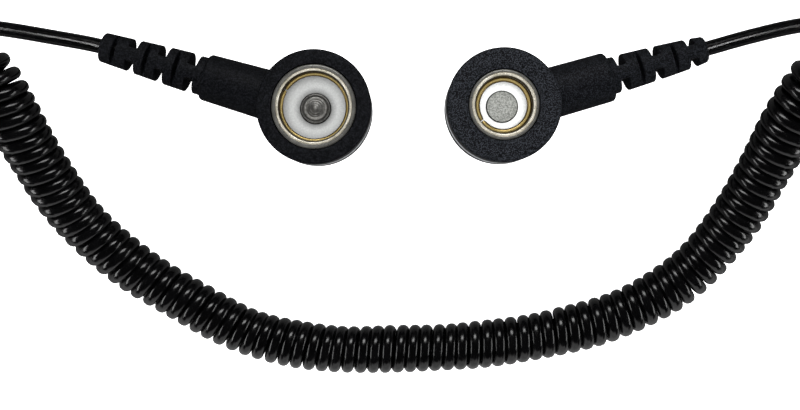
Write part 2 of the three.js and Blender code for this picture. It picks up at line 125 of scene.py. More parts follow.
HEAD = {"radius": 9.0, "height": 9.4, "edge": 0.32}
PAINTED_LINE_BAND = (3.7, 5.6)  # where the painted highlight line round a head's side starts and ends, in height
STEM = {"axis": 4.4, "start": 5.0, "radius": 4.15, "edge": 0.55}
BORE = {"start": 6.4, "radius": 1.75, "boot_seat": 1.05, "clearance": 0.06}
SOCKET_FLOOR = 5.2
SHEET = 0.45
POCKET = {"clearance": 0.12, "under": 0.1, "edge": 0.1}  # the room for the socket
TAB_ROOM = (3.4, 4.15, 5.0)  # and under it: radius, bottom and top
RIVET_ROOM = (1.75, 3.55, 4.5)
RIM_BELOW_FACE = 0.1
SPRING_BELOW_FACE = 1.75

# What differs between the ends. Distances along a stem are from the head's axis.
ENDS = {
    "left": {
        "place": (-13.5, 38.6), "angle": 163.7,
        "stem_end": 18.6, "stem_end_radius": 3.75,
        "collar": (20.0, 3.15),
        "segments": [(21.1, 24.9, 3.2, 3.05), (26.1, 29.8, 2.95, 2.75), (31.0, 35.7, 2.65, 2.4)],
        "rim": 6.63, "groove": 5.97, "lip": 5.62, "mouth": 5.38, "wall": 6.15,
        "spring": 4.92, "spring_wire": 0.33, "split": -15,
    },
    "right": {
        "place": (16.3, 38.9), "angle": 15.95,
        "stem_end": 18.0, "stem_end_radius": 4.0,
        "collar": (19.4, 3.0),
        "segments": [(20.4, 25.1, 3.0, 2.8), (26.1, 30.9, 2.75, 2.45), (32.2, 34.0, 2.35, 2.1)],
        "rim": 5.52, "groove": 5.04, "lip": 4.62, "mouth": 4.4, "wall": 5.05,
        "spring": 3.7, "spring_wire": 0.4, "split": 200,
    },
}
SPLIT = math.radians(2.5)  # the opening in a spring ring

# Outlines are radius, height and corner radius. A rivet's shank is measured from the head's
# bottom, and its own head from just over the socket's floor.
RIVET_LIFT = 0.1
RIVET_SHANK = [(0, 3.8, 0), (1.5, 3.8, 0.1), (1.5, 4.15, 0.1), (1.05, 4.2, 0.05)]
SHANK_RADIUS = 1.05
RIVET_HOLE = 1.15
RIVETS = {
    "left": [
        (2.5, 0, 0.1), (2.5, 0.3, 0.2), (2.1, 0.38, 0.1), (2.02, 0.12, 0.05),
        (1.95, 0.12, 0.05), (1.9, 0.5, 0.2), (1.5, 0.52, 0.2), (1.45, 0.36, 0.06),
        (1.15, 0.46, 0.06), (1.1, 0.38, 0.05), (0.8, 0.52, 0.05), (0.75, 0.46, 0.05),
        (0.4, 0.62, 0.08), (0.15, 0.74, 0.1), (0, 0.76, 0),
    ],
    "right": [
        (2.58, 0, 0.1), (2.58, 0.2, 0.1), (2.46, 0.2, 0.05), (2.46, 0.46, 0.15),
        (0.7, 0.52, 0.3), (0.35, 0.46, 0.2), (0, 0.46, 0),
    ],
}
# Beyond these radii a rivet's outer edge takes a darker metal.
DARKER_BEYOND = {"left": 2.3, "right": 2.42}

# The hidden pieces in a stem. Distances are from the head's axis.
TAB = (4.25, 4.65, 1.2, 3.3)  # its bottom and top, and its hole's and its own radius
TONGUE = (2.0, 7.7, 1.1)  # its start and end, and half its width
LEAD = {"radius": 0.3, "front": (7.8, 8.5), "rear": (13.7, 15.3)}
RESISTOR = (8.6, 13.6)  # its start and end
PAINTED_BEYOND = 0.9  # the radius where its bands are
HALF_RESISTOR = [(0, 0, 0), (0.75, 0, 0.2), (1.25, 0.35, 0.3), (1.25, 1.1, 0.4), (1.05, 1.5, 0.4)]
BAND_STARTS = [0.55, 1.75, 2.55, 4.0]  # from the resistor's start
BAND_WIDTH = 0.45
CRIMP = [
    (0.64, 14.7, 0.05), (1.05, 14.7, 0.1), (1.05, 15.0, 0.1), (0.9, 15.3, 0.2),
    (0.9, 15.7, 0.2), (1.05, 16.0, 0.1), (1.05, 16.3, 0.1), (0.64, 16.3, 0.05),
]
CONDUCTOR = {"start": 15.5, "short_of_end": 0.3, "radius": 0.48}
LAY = 9.0  # how far along a conductor its strands take to go round

NECK = 1.1  # half the width of a boot's neck between two side slots
SIDE_SLOT = 0.7  # half the width of a side slot
FRONT_SLOT = {"left": (0.33, 0.35), "right": (0.28, 0.3)}  # and of a front one: root, top
FRONT_SLOT_DEPTH = 0.78  # how near the boot's axis a front slot reaches
SHORTEST_SLOTTED = 3  # shorter segments have no front slot
BOOT_ROOT = 1.0  # how far a boot reaches into its stem
BOOT_SEAT = 0.7  # how far into its root and its last segment the cable's bore changes
CABLE_SEATS = (0.75, 0.68)  # and the cable in it
BOOT_VOXEL = 0.09

# ---- curves


def smooth_curve(points, per_span):
    """A centripetal Catmull-Rom curve through points, as many closely spaced points."""
    p = np.array(points, float)
    p = np.vstack([2 * p[0] - p[1], p, 2 * p[-1] - p[-2]])
    t = np.linspace(0, 1, per_span, endpoint=False)[:, None]
    spans = []
    for a, b, c, d in zip(p, p[1:], p[2:], p[3:]):
        ab, bc, cd = (np.sqrt(np.linalg.norm(v - u)) for u, v in ((a, b), (b, c), (c, d)))
        start = ((b - a) / ab - (c - a) / (ab + bc) + (c - b) / bc) * bc
        finish = ((c - b) / bc - (d - b) / (bc + cd) + (d - c) / cd) * bc
        square, cube = 3 * (c - b) - 2 * start - finish, 2 * (b - c) + start + finish
        spans.append(b + start * t + square * t**2 + cube * t**3)
    return np.vstack([*spans, p[-2]])


class Path:
    """A smooth curve through points, measured along its length."""

    def __init__(self, points, per_span=160):
        self.points = smooth_curve(points, per_span)
        steps = np.linalg.norm(np.diff(self.points, axis=0), axis=1)
        self.lengths = np.concatenate([[0], np.cumsum(steps)])
        self.length = self.lengths[-1]
        self.knot_lengths = self.lengths[::per_span]

    def at(self, s):
        return np.stack([np.interp(s, self.lengths, self.points[:, i]) for i in range(3)], axis=-1)

    def tangent(self, s, reach=0.25):
        return unit(self.at(s + reach) - self.at(s - reach))


def unit(v):
    return v / np.linalg.norm(v, axis=-1, keepdims=True)


coil_axis = Path(COIL_AXIS)
MIDDLE = coil_axis.knot_lengths[MIDDLE_KNOT]


def wave(turn, height, rate, phase):
    return height * np.sin(rate * turn + phase)


def unevenness(turn):
    """How far a turn sits from its even place along the coil."""
    return sum(wave(turn, *numbers) for numbers in UNEVEN_ALONG)


def spacing(turn):
    """How far apart neighbouring turns are: the spacing grows, then closes up on the arms."""
    beyond = np.maximum(np.abs(turn) - SPREAD_TURNS, 0)
    spread = PITCH + 2 * SPREAD * np.minimum(np.abs(turn), SPREAD_TURNS)
    return END_PITCH + (spread - END_PITCH) * np.exp(-beyond / SETTLE)


def along_axis(turn):
    """How far along the coil's axis an evenly lying turn is from the middle."""
    spread = np.minimum(np.abs(turn), SPREAD_TURNS)
    beyond = np.abs(turn) - spread
    excess = PITCH + 2 * SPREAD * SPREAD_TURNS - END_PITCH
    closing = excess * SETTLE * (1 - np.exp(-beyond / SETTLE))
    return np.sign(turn) * (PITCH * spread + SPREAD * spread**2 + END_PITCH * beyond + closing)


def coil_frame(turn):
    """The coil's axis at some turns: where it is, the way it runs and the way to the wire."""
    turn = np.asarray(turn, float)
    s = MIDDLE + along_axis(turn) + unevenness(turn)
    tangent = coil_axis.tangent(s)
    up = unit(UP - tangent * tangent[..., 2:])
    across = np.cross(tangent, up)
    angle = (-2 * np.pi * turn)[..., None]
    return coil_axis.at(s), tangent, up * np.cos(angle) + across * np.sin(angle)


def wire_centre(turn):
    turn = np.asarray(turn, float)
    widest = np.where(turn < 0, LAST_TURN["left"], LAST_TURN["right"])
    radius = COIL_RADIUS * (1 + GROWTH * (turn / widest) ** 2) - WIRE_RADIAL
    radius = radius + wave(turn, *UNEVEN_RADIUS)
    point, _, outward = coil_frame(turn)
    return point + outward * radius[..., None]


def wire_axial(turn):
    """Half the wire's width along the coil: each turn is pressed flat against the next."""
    return spacing(turn) / 2 + PRESSED


def wire_frames(turn):
    """The wire's centreline at some turns, with its flat sides kept to its neighbours."""
    tangent = unit(wire_centre(turn + 0.01) - wire_centre(turn - 0.01))
    outward = coil_frame(turn)[2]
    normal = unit(outward - tangent * np.sum(outward * tangent, axis=-1, keepdims=True))
    return wire_centre(turn), normal, np.cross(tangent, normal)


def carried_frames(path, s, first_normal):
    """Frames along a path that turn no more than they must, from a first normal."""
    tangents = path.tangent(s)
    normals = [first_normal]
    for tangent in tangents:
        normals.append(unit(normals[-1] - tangent * (normals[-1] @ tangent)))
    normals = np.array(normals[1:])
    return path.at(s), normals, np.cross(tangents, normals)


# From the bench under the coil's middle to the frame's origin, by the first bend's place in both.
SHIFT = np.array(joints["left_coil_bend_1"]["pos_m"]) / MM
SHIFT = SHIFT - coil_axis.at(MIDDLE + along_axis(-FIRST_BEND))


def in_frame(point):
    """A point in millimetres from the bench under the coil's middle, in the frame's metres."""
    return (np.asarray(point) + SHIFT) * MM


# ---- meshes


def added(name, data):
    obj = bpy.data.objects.new(name, data)
    scene.collection.objects.link(obj)
    return obj


def piece_from(name, vertices, faces, material, place=None):
    """A smooth-shaded object from points in millimetres, placed by an optional matrix first."""
    points = np.asarray(vertices, float).reshape(-1, 3)
    if place is not None:
        points = points @ np.array(place)[:3, :3].T + np.array(place)[:3, 3]
    mesh = bpy.data.meshes.new(name)
    mesh.from_pydata(in_frame(points).tolist(), [], faces)
    mesh.validate()
    mesh.shade_smooth()
    mesh.materials.append(material)
    return added(name, mesh)


def crease(obj, degrees=35):
    """Keeps real corners sharp in an otherwise smooth-shaded mesh."""
    obj.data.set_sharp_from_angle(angle=math.radians(degrees))
    return obj


def ring_faces(rings, sides, offset=0, inward=False):
    """Quads between neighbouring rings of points."""
    faces = []
    for i in range(rings - 1):
        for j in range(sides):
            a = offset + i * sides + j
            b = offset + i * sides + (j + 1) % sides
            quad = (a, a + sides, b + sides, b)
            faces.append(quad[::-1] if inward else quad)
    return faces


def sweep(name, frames, outline, material, inner=None):
    """A closed rod, or a tube if it has an inner outline. Outlines give points across it for each
    step along it, shaped (steps, sides, 2)."""
    centres, normals, binormals = frames
    steps, sides = len(centres), outline.shape[1]

    def rings(shape):
        shifted = centres[:, None] + normals[:, None] * shape[..., :1]
        return (shifted + binormals[:, None] * shape[..., 1:]).reshape(-1, 3)

    vertices = rings(outline)
    faces = ring_faces(steps, sides)
    last = (steps - 1) * sides
    if inner is None:
        faces.append(tuple(range(sides)))
        faces.append(tuple(last + j for j in reversed(range(sides))))
    else:
        offset = len(vertices)
        vertices = np.vstack([vertices, rings(inner)])
        faces += ring_faces(steps, sides, offset, inward=True)
        for j in range(sides):
            k = (j + 1) % sides
            faces.append((j, k, offset + k, offset + j))
            faces.append((last + k, last + j, offset + last + j, offset + last + k))
    return crease(piece_from(name, vertices, faces, material), 60)


def oval(steps, sides, half_x, half_y, roundness=2.0):
    """A superellipse for each step: roundness 2 is an ellipse, and more is squarer."""
    angle = (np.arange(sides) / sides * 2 * np.pi)[None, :]
    cos, sin = np.cos(angle), np.sin(angle)
    x = np.sign(cos) * np.abs(cos) ** (2 / roundness) * np.broadcast_to(half_x, (steps,))[:, None]
    y = np.sign(sin) * np.abs(sin) ** (2 / roundness) * np.broadcast_to(half_y, (steps,))[:, None]
    return np.stack([x, y], axis=-1)


def rounded(corners, arc_steps=6):
    """An outline with its corners rounded: each corner is (across, along, corner radius)."""
    points = []
    for i, (x, y, radius) in enumerate(corners):
        here = np.array([x, y], float)
        if radius == 0:
            points.append(here)
            continue
        before = np.array(corners[i - 1][:2], float)
        after = np.array(corners[(i + 1) % len(corners)][:2], float)
        into, out = unit(before - here), unit(after - here)
        half = math.acos(max(-1, min(1, into @ out))) / 2
        nearest = min(np.linalg.norm(before - here), np.linalg.norm(after - here))
        reach = min(radius / math.tan(half), 0.49 * nearest)
        bisector = unit(into + out)
        centre = here + bisector * reach / math.cos(half)
        start, finish = here + into * reach - centre, here + out * reach - centre
        sweep_angle = math.atan2(start[0] * finish[1] - start[1] * finish[0], start @ finish)
        for k in range(arc_steps + 1):
            a = sweep_angle * k / arc_steps
            c, s = math.cos(a), math.sin(a)
            spoke = np.array([c * start[0] - s * start[1], s * start[0] + c * start[1]])
            points.append(centre + spoke)
    return points


def turned(name, outline, materials, place, sides, material_of=None):
    """A solid of revolution about Z from an anticlockwise outline of (radius, height), with poles
    at radius 0. material_of picks a material's number from a face's radius and height."""
    vertices, faces = [], []
    rows = []
    for radius, height in outline:
        if radius < 1e-6:
            rows.append([len(vertices)])
            vertices.append((0, 0, height))
        else:
            rows.append(list(range(len(vertices), len(vertices) + sides)))
            angle = np.arange(sides) / sides * 2 * np.pi
            vertices += zip(radius * np.cos(angle), radius * np.sin(angle), [height] * sides)
    on_axis = any(len(row) == 1 for row in rows)
    pairs = zip(rows, rows[1:] + ([] if on_axis else rows[:1]))
    numbers = []
    for k, (low, high) in enumerate(pairs):
        if len(low) == 1 and len(high) == 1:
            continue
        middle = (np.array(outline[k]) + np.array(outline[(k + 1) % len(outline)])) / 2
        for j in range(sides):
            i = (j + 1) % sides
            if len(low) == 1:
                faces.append((low[0], high[i], high[j]))
            elif len(high) == 1:
                faces.append((low[j], low[i], high[0]))
            else:
                faces.append((low[j], low[i], high[i], high[j]))
            numbers.append(material_of(*middle) if material_of else 0)
    obj = piece_from(name, vertices, faces, materials[0], place)
    for extra in materials[1:]:
        obj.data.materials.append(extra)
    obj.data.polygons.foreach_set("material_index", numbers)
    return crease(obj)


def combined(obj, other, operation="DIFFERENCE"):
    """Cuts a mesh with another, or joins them. The other is used up."""
    modifier = obj.modifiers.new("join", "BOOLEAN")
    modifier.operation = operation
    modifier.object = other
    modifier.solver = "EXACT"
    apply_modifiers(obj)
    bpy.data.objects.remove(other)
    return obj


def apply_modifiers(obj):
    graph = bpy.context.evaluated_depsgraph_get()
    mesh = bpy.data.meshes.new_from_object(obj.evaluated_get(graph))
    obj.modifiers.clear()
    old, obj.data = obj.data, mesh
    bpy.data.meshes.remove(old)


def moulded(obj, voxel, smoothing):
    """Rounds every edge of a mesh the way a moulding's are: remeshed finely, then smoothed."""
    remesh = obj.modifiers.new("remesh", "REMESH")
    remesh.mode = "VOXEL"
    remesh.voxel_size = voxel * MM
    smooth = obj.modifiers.new("smooth", "SMOOTH")
    smooth.iterations = smoothing
    smooth.factor = 0.5
    apply_modifiers(obj)
    obj.data.shade_smooth()
    return obj


def sliced(obj, name, planes):
    """A copy of a mesh between planes, each a point and the way that's kept, with closed cuts."""
    made = bmesh.new()
    made.from_mesh(obj.data)
    for point, keep in planes:
        geometry = made.verts[:] + made.edges[:] + made.faces[:]
        cut = bmesh.ops.bisect_plane(
            made, geom=geometry, plane_co=point, plane_no=keep, clear_inner=True, dist=1e-7
        )
        edges = [e for e in cut["geom_cut"] if isinstance(e, bmesh.types.BMEdge)]
        bmesh.ops.holes_fill(made, edges=edges, sides=0)
    mesh = bpy.data.meshes.new(name)
    made.to_mesh(mesh)
    made.free()
    for material in obj.data.materials:
        mesh.materials.append(material)
    mesh.shade_smooth()
    return crease(added(name, mesh), 60)


# ---- materials


class Finish:
    """A material's nodes, wired from code."""

    def __init__(self, name, **settings):
        self.material = bpy.data.materials.new(name)
        self.material.use_nodes = True
        self.tree = self.material.node_tree
        self.surface = self.tree.nodes["Principled BSDF"]
        self.place = self.node("TexCoord").outputs["Object"]
        for key, value in settings.items():
            title = key.replace("_", " ").title().replace("Ior", "IOR")
            self.surface.inputs[title].default_value = value

    def node(self, kind, **inputs):
        made = self.tree.nodes.new("ShaderNode" + kind)
        for key, value in inputs.items():
            socket = made.inputs[key]
            if isinstance(value, bpy.types.NodeSocket):
                self.tree.links.new(value, socket)
            else:
                socket.default_value = value
        return made

    def noise(self, size, detail=2.0, roughness=0.5):
        """Noise with features of about a size in millimetres."""
        settings = {"Scale": 1 / (size * MM), "Detail": detail, "Roughness": roughness}
        return self.node("TexNoise", Vector=self.place, **settings).outputs["Fac"]

    def ramp(self, factor, *stops):
        """A colour or a grey from a factor: stops are (position, value)."""
        made = self.node("ValToRGB", Fac=factor)
        elements = made.color_ramp.elements
        while len(elements) < len(stops):
            elements.new(1.0)
        for element, (position, value) in zip(elements, stops):
            element.position = position
            element.color = (*value, 1) if isinstance(value, tuple) else (value, value, value, 1)
        return made.outputs["Color"]

    def share(self, value, start, end):
        """How far a value has gone from a start to an end, in metres."""
        made = self.node("MapRange", Value=value, **{"From Min": start, "From Max": end})
        return made.outputs["Result"]

    def set(self, key, socket):
        self.tree.links.new(socket, self.surface.inputs[key])

    def rough(self, low, high, size=0.5, detail=2.0, start=0.3):
        """A roughness that wanders between two values."""
        wander = self.noise(size, detail)
        self.set("Roughness", self.ramp(wander, (start, low), (0.7, high)))

    def bump(self, height, depth, strength=1.0, under=None):
        """Relief of a depth in millimetres, over any other relief."""
        made = self.node("Bump", Height=height, Strength=strength, Distance=depth * MM)
        if under is not None:
            self.tree.links.new(under, made.inputs["Normal"])
        self.set("Normal", made.outputs["Normal"])
        return made.outputs["Normal"]


def moulding_material(name, black, speck, size=0.19):
    """Black moulded plastic with a fine spark-eroded grain, whose tips are rubbed paler."""
    finish = Finish(name, specular_ior_level=0.1)
    grain = finish.noise(size, 2.0, 0.6)
    tips = finish.ramp(grain, (0.49, black), (0.58, speck))
    finish.set("Base Color", tips)
    finish.rough(0.5, 0.66)
    coarse = finish.bump(finish.noise(0.6, 3.0), 0.02, 0.5)
    finish.bump(grain, 0.015, 0.6, under=coarse)
    return finish.material


def side_wall_material():
    """The heads' smoother sides, with a painted highlight: a pale line in a band of height round
    each head, where its wall is seen edge-on.
    """
    finish = Finish("moulded_side_wall", specular_ior_level=0.3)
    height = finish.node("SeparateXYZ", Vector=finish.place).outputs["Z"]
    low, high = (z * MM for z in PAINTED_LINE_BAND)
    band = finish.ramp(finish.share(height, low, high), (0, 0), (0.15, 1), (0.85, 1), (1, 0))
    facing = finish.node("LayerWeight", Blend=0.5).outputs["Facing"]
    grazing = finish.ramp(facing, (0.8, 0), (0.93, 1))
    # Painted highlight: the wall's colour turns pale inside the band, where the wall is seen
    # edge-on.
    painted_line_mask = finish.node("MixRGB", Fac=band, Color1=(0, 0, 0, 1), Color2=grazing)
    painted_highlight = finish.node("MixRGB", Fac=painted_line_mask.outputs["Color"], Color2=(0.6, 0.61, 0.63, 1))
    black = finish.ramp(finish.noise(0.3), (0.4, 0.001), (0.6, 0.004))
    finish.tree.links.new(black, painted_highlight.inputs["Color1"])
    finish.set("Base Color", painted_highlight.outputs["Color"])
    finish.rough(0.3, 0.42)
    finish.bump(finish.noise(0.3), 0.01, 0.4)
    return finish.material


def jacket_material():
    """Glossy black polyurethane with a faint orange peel and handling marks."""
    finish = Finish("glossy_jacket", specular_ior_level=0.5)
    dark, pale = (0.0005, 0.0005, 0.0006), (0.0012, 0.0012, 0.0014)
    finish.set("Base Color", finish.ramp(finish.noise(3.0), (0.3, dark), (0.7, pale)))
    finish.rough(0.15, 0.26, 0.8, 4.0, 0.35)
    peel = finish.bump(finish.noise(0.8, 2.0), 0.01, 0.4)
    finish.bump(finish.noise(0.09, 2.0), 0.0015, 0.35, under=peel)
    return finish.material


def metal_material(
    name, dull, bright, roughness, grain=0.12, mottle=1.2, metallic=1.0, rings=None
):
    """Pressed and plated metal: its colour and its polish both vary, and it's finely pitted. rings
    is a side and how bright the metal is painted at distances from that side's socket's axis, for
    a painted highlight and turned rings."""
    finish = Finish(name, metallic=metallic)
    colour = finish.ramp(finish.noise(mottle, 5.0, 0.6), (0.3, dull), (0.65, bright))
    finish.set("Base Color", ringed(finish, colour, *rings) if rings else colour)
    finish.rough(*roughness, mottle / 3, 3.0)
    finish.bump(finish.noise(grain, 3.0), 0.004, 0.5)
    return finish.material


def plain_material(name, colour, roughness=0.3, mottle=0.4, rings=None):
    """Lacquer or paint, with a slight mottle; rings paints shade by distance from a socket's axis.
    """
    finish = Finish(name)
    pale = tuple(min(1.0, c * 1.25) for c in colour)
    paint = finish.ramp(finish.noise(mottle, 3.0), (0.35, colour), (0.7, pale))
    finish.set("Base Color", ringed(finish, paint, *rings) if rings else paint)
    finish.rough(roughness, roughness + 0.1, mottle * 2)
    finish.bump(finish.noise(0.3), 0.004, 0.4)
    return finish.material


def ringed(finish, colour, side, stops):
    """A colour scaled by distance from a socket's axis, for painted shade and painted highlights:
    stops are (millimetres, factor).
    """
    flat = finish.node("VectorMath", Vector=finish.place)
    flat.operation = "MULTIPLY"
    flat.inputs[1].default_value = (1, 1, 0)
    away = finish.node("VectorMath", Vector=flat.outputs["Vector"])
    away.operation = "DISTANCE"
    away.inputs[1].default_value = in_frame([*ENDS[side]["place"], 0])
    reach = stops[-1][0]
    share = finish.share(away.outputs["Value"], 0, reach * MM)
    factor = finish.ramp(share, *((r / reach, value) for r, value in stops))
    shaded = finish.node("MixRGB", Fac=1.0, Color1=colour, Color2=factor)
    shaded.blend_type = "MULTIPLY"
    return shaded.outputs["Color"]


def floor_paint(side, colour, shade):
    """A frosted socket floor, with painted shade that darkens it towards its rivet."""
    rings = side, [(2.4, shade), (3.5, 1)]
    return plain_material(f"{side}_socket_floor", colour, 0.4, 0.25, rings)


def spring_material():
    """Brass wire, with a painted highlight along its crest and painted shade down its flanks."""
    finish = Finish("spring_brass_painted_shading", metallic=0.7)
    flank = finish.node("LayerWeight", Blend=0.5).outputs["Facing"]
    # Painted light: bright brass where the wire faces the view, dark brown where it turns away.
    crest, side, root = (0.66, 0.51, 0.2), (0.26, 0.175, 0.055), (0.03, 0.018, 0.006)
    finish.set("Base Color", finish.ramp(flank, (0.01, crest), (0.1, side), (0.4, root)))
    finish.rough(0.16, 0.26)
    finish.bump(finish.noise(0.12, 3.0), 0.004, 0.5)
    return finish.material


def floor_material():
    """A lit table, shadowless and white from above, that reflections see as a dim one."""
    white = (1, 1, 1, 1)
    finish = Finish("pale_floor", roughness=0.6, specular_ior_level=0.2, emission_color=white)
    paint = finish.ramp(finish.noise(40), (0.3, 0.93), (0.7, 0.95))
    mirrored = finish.node("LightPath").outputs["Is Glossy Ray"]
    near = finish.node("SeparateXYZ", Vector=finish.place).outputs["Y"]
    dim = finish.ramp(finish.share(near, -0.036, 0), (0, 0.36), (0.5, 0.12), (1, 0.06))
    seen = finish.node("MixRGB", Fac=mirrored, Color1=paint, Color2=dim)
    finish.set("Base Color", seen.outputs["Color"])
    finish.set("Emission Strength", finish.node("LightPath").outputs["Is Camera Ray"])
    return finish.material


RIGHT_BLACK = (0.0005, 0.0007, 0.001)
RIGHT_GRAIN = 0.18
LEFT_BLACK, LEFT_SPECK = (0.0008, 0.001, 0.0014), (0.0062, 0.0067, 0.0086)
RIGHT_SPECK, RIGHT_STEM_SPECK = (0.022, 0.0245, 0.03), (0.0115, 0.0128, 0.016)
MOULDING = {
    "left": moulding_material("left_moulded_black", LEFT_BLACK, LEFT_SPECK),
    "right": moulding_material("right_moulded_black", RIGHT_BLACK, RIGHT_SPECK, RIGHT_GRAIN),
}
STEM_MOULDING = {
    "left": MOULDING["left"],
    "right": moulding_material("right_stem_black", RIGHT_BLACK, RIGHT_STEM_SPECK, RIGHT_GRAIN),
}
SIDE_WALL = side_wall_material()
JACKET = jacket_material()
NICKEL = metal_material(
    "nickel", (0.1, 0.098, 0.09), (0.19, 0.187, 0.172), (0.26, 0.36), 0.2, 1.6, 0.7
)
# Paler cream metal for the inner bead: a painted highlight along the socket's rim.
BEAD_HIGHLIGHT_METAL = metal_material(
    "gilt_nickel_painted_highlight", (0.42, 0.39, 0.3), (0.8, 0.76, 0.66), (0.2, 0.3), 0.2, 2.0, 0.6
)
SPRING = spring_material()
# Gilt metal painted dark: painted shade on the cup's inner wall and under its lip.
SHADED_CUP_WALL = metal_material(
    "gilt_cup_wall_painted_shade", (0.02, 0.013, 0.005), (0.07, 0.05, 0.02), (0.25, 0.4), 0.2, 2.5, 0.7
)
# Each floor's colour, and how far its painted shade darkens it next to its rivet.
SOCKET_PAINT = {
    "left": floor_paint("left", (0.31, 0.315, 0.31), 0.35),
    "right": floor_paint("right", (0.78, 0.79, 0.78), 0.9),
}
# How bright the left rivet's dome is painted by distance from its axis: a painted highlight at its
# middle, and turned rings of paler and darker metal.
DOME_HIGHLIGHT_RINGS = [(0, 1), (0.22, 0.75), (0.4, 0.4), (1.3, 0.4), (1.5, 0.75), (1.75, 0.75)]
DOME_HIGHLIGHT_RINGS += [(1.95, 0.35), (2.5, 0.4)]
RIVET_METAL = {
    "left": metal_material(
        "left_rivet_metal", (0.22, 0.215, 0.2), (0.54, 0.53, 0.5), (0.38, 0.48), 0.25, 0.5, 0.8,
        ("left", DOME_HIGHLIGHT_RINGS),
    ),
    "right": metal_material(
        "right_rivet_metal", (0.1, 0.104, 0.096), (0.48, 0.49, 0.46), (0.42, 0.6), 0.2, 0.22, 0.5
    ),
}
# Darker metal for the rivets' outer edges.
RIVET_EDGE = metal_material(
    "darker_rivet_edge", (0.015, 0.015, 0.013), (0.05, 0.049, 0.044), (0.35, 0.5)
)
TIN = metal_material("tinned_metal", (0.5, 0.5, 0.48), (0.78, 0.78, 0.75), (0.25, 0.4))
COPPER = metal_material("copper_strands", (0.55, 0.25, 0.12), (0.85, 0.47, 0.28), (0.25, 0.4))
LACQUER = plain_material("resistor_lacquer", (0.55, 0.38, 0.2))
BAND_COLOURS = {
    "brown": (0.12, 0.04, 0.02), "black": (0.01, 0.01, 0.01),
    "green": (0.02, 0.2, 0.04), "gold": (0.5, 0.33, 0.08),
}
BANDS = [plain_material(f"band_{name}", colour) for name, colour in BAND_COLOURS.items()]

# ---- the coil and the tails


def share_blend(obj):
    """Bakes a swept piece's placement into its mesh."""
    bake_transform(obj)


def ease(x):
    x = np.clip(x, 0, 1)
    return x * x * (3 - 2 * x)


def build_coil(side, sign):
    """The coil's pieces on one side of its middle, one for each joint that it crosses."""
    limits = [*ZONE_TURNS, LAST_TURN[side]]
    for k, (first, last) in enumerate(zip(limits, limits[1:]), 1):
        steps = int(round((last - first) * STEPS_PER_TURN)) + 1
        share = np.linspace(0, 1, steps)
        turns = sign * (first + (last - first) * share)
        if sign < 0:
            turns, share = turns[::-1], share[::-1]
        outline = oval(steps, WIRE_SIDES, WIRE_RADIAL, wire_axial(turns), WIRE_ROUNDNESS)
        wire = sweep(f"{side}_coil_wire_{k}", wire_frames(turns), outline, JACKET)
        share_blend(wire)
        middle = ["coil_centre"] if wire.name == "left_coil_wire_1" else []
        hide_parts(f"{side}_coil_{k}", *middle)


def along_stem(end, distance, height=0.0, across=0.0):
    """A point by its distance along a stem, over its axis and across it."""
    a = math.radians(end["angle"])
    x, y = end["place"]
    x = x + distance * math.cos(a) - across * math.sin(a)
    y = y + distance * math.sin(a) + across * math.cos(a)
    return np.array([x, y, STEM["axis"] + height])


def tail_path(side, sign):
    """The tail's centreline from the coil's last turn, round its loop and into the boot."""
    last = sign * LAST_TURN[side]
    leave = wire_centre(last)
    run_on = leave + TAIL_RUN_ON * unit(wire_centre(last + sign * 0.01) - leave)
    end = ENDS[side]
    start, finish = end["segments"][-1][:2]
    in_boot = [along_stem(end, start + BOOT_SEAT), along_stem(end, finish + LEAVES_BOOT)]
    return Path([leave, run_on, *reversed(TAILS[side]), *reversed(in_boot)])


def build_tail(side, sign):
    """The jacket and the strands between the coil and the boot."""
    path = tail_path(side, sign)
    steps = int(path.length / TAIL_STEP)
    s = np.linspace(0, path.length, steps)
    _, first_normal, _ = wire_frames(sign * LAST_TURN[side])
    frames = carried_frames(path, s, first_normal)
    settle = ease(s / TAIL_ROUNDS_IN)
    axial = wire_axial(LAST_TURN[side])
    outline = oval(
        steps,
        CABLE["sides"],
        WIRE_RADIAL + (CABLE["radius"] - WIRE_RADIAL) * settle,
        axial + (CABLE["radius"] - axial) * settle,
        (WIRE_ROUNDNESS + (2 - WIRE_ROUNDNESS) * settle)[:, None],
    )
    bore = oval(steps, CABLE["sides"], CABLE["bore"], CABLE["bore"])
    jacket = sweep(f"{side}_tail_jacket", frames, outline, JACKET, bore)
    share_blend(jacket)
    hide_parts(f"{side}_tail_outer_jacket", f"{side}_tail_inner_jacket")
    strands = sweep(f"{side}_tail_strands", frames, stranded(s), COPPER)
    share_blend(strands)
    nodes = [f"{side}_tail_{part}_conductor" for part in ("outer", "inner")]
    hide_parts(*nodes)


def stranded(s, sides=36, strands=6):
    """The lobed outline of twisted strands, for each place along a conductor."""
    angle = (np.arange(sides) / sides * 2 * np.pi)[None, :]
    twist = (s / LAY * 2 * np.pi)[:, None]
    radius = CABLE["strands"] * (0.9 + 0.1 * np.abs(np.cos(strands / 2 * (angle + twist))))
    return np.stack([radius * np.cos(angle), radius * np.sin(angle)], axis=-1)


# ---- the heads


def head_place(end):
    x, y = end["place"]
    return Matrix.Translation((x, y, 0)) @ Matrix.Rotation(math.radians(end["angle"]), 4, "Z")


def stem_place(end):
    """Turns a solid built about Z into one along the stem."""
    lift = Matrix.Translation((0, 0, STEM["axis"]))
    return head_place(end) @ lift @ Matrix.Rotation(math.pi / 2, 4, "Y")


def ride(obj, side, node):
    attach(obj, f"{side}_connector")
    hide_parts(node)


def drum(name, radius, low, high, materials, place, sides):
    """A plain cylinder to cut with."""
    outline = [(0, low), (radius, low), (radius, high), (0, high)]
    return turned(name, outline, materials, place, sides)


